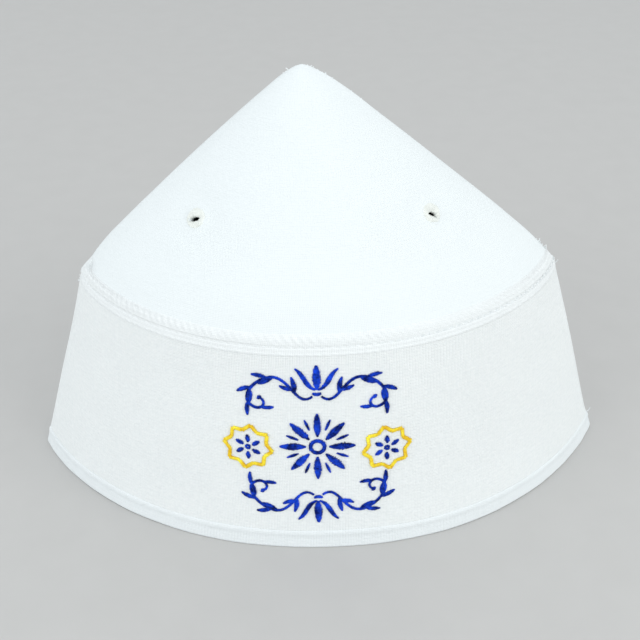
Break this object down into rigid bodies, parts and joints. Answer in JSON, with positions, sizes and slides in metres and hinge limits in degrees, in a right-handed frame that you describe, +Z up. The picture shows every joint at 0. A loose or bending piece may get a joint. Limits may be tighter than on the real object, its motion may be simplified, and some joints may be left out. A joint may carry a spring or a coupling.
{
  "type": "fold-flat cotton cap (songkok)",
  "caption": "White fold-flat cotton cap: tapered stiff band on a narrow hem, stitched welt, pointed crown with bound vent eyelets.",
  "frame": {"origin": "on the surface the cap rests on, under the middle of its rim", "axes": "+Z up through the crown, front with the embroidery towards -Y, +X towards the crease on the viewer's right"},
  "size_m": [0.2354, 0.1366, 0.163],
  "materials": {
    "hem_cotton": "plain woven white cotton, matt, folded and stitched",
    "band_cotton": "stiff woven white cotton, matt, fine even lattice weave",
    "welt_cotton": "rolled white cotton edge, matt, with a stitched groove",
    "crown_cotton": "woven white cotton, matt, fine even lattice weave",
    "eyelet_thread": "white buttonhole thread, slight sheen",
    "blue_thread": "blue embroidery floss in satin stitch, silky sheen",
    "yellow_thread": "yellow embroidery floss in satin stitch, silky sheen"
  },
  "bodies": {
    "root": {"hem": "hem_cotton", "band": "band_cotton", "seam_welt": "welt_cotton", "crown": "crown_cotton", "eyelet_front_left": "eyelet_thread", "eyelet_front_right": "eyelet_thread", "eyelet_back_left": "eyelet_thread", "eyelet_back_right": "eyelet_thread"}
  },
  "joints": []
}
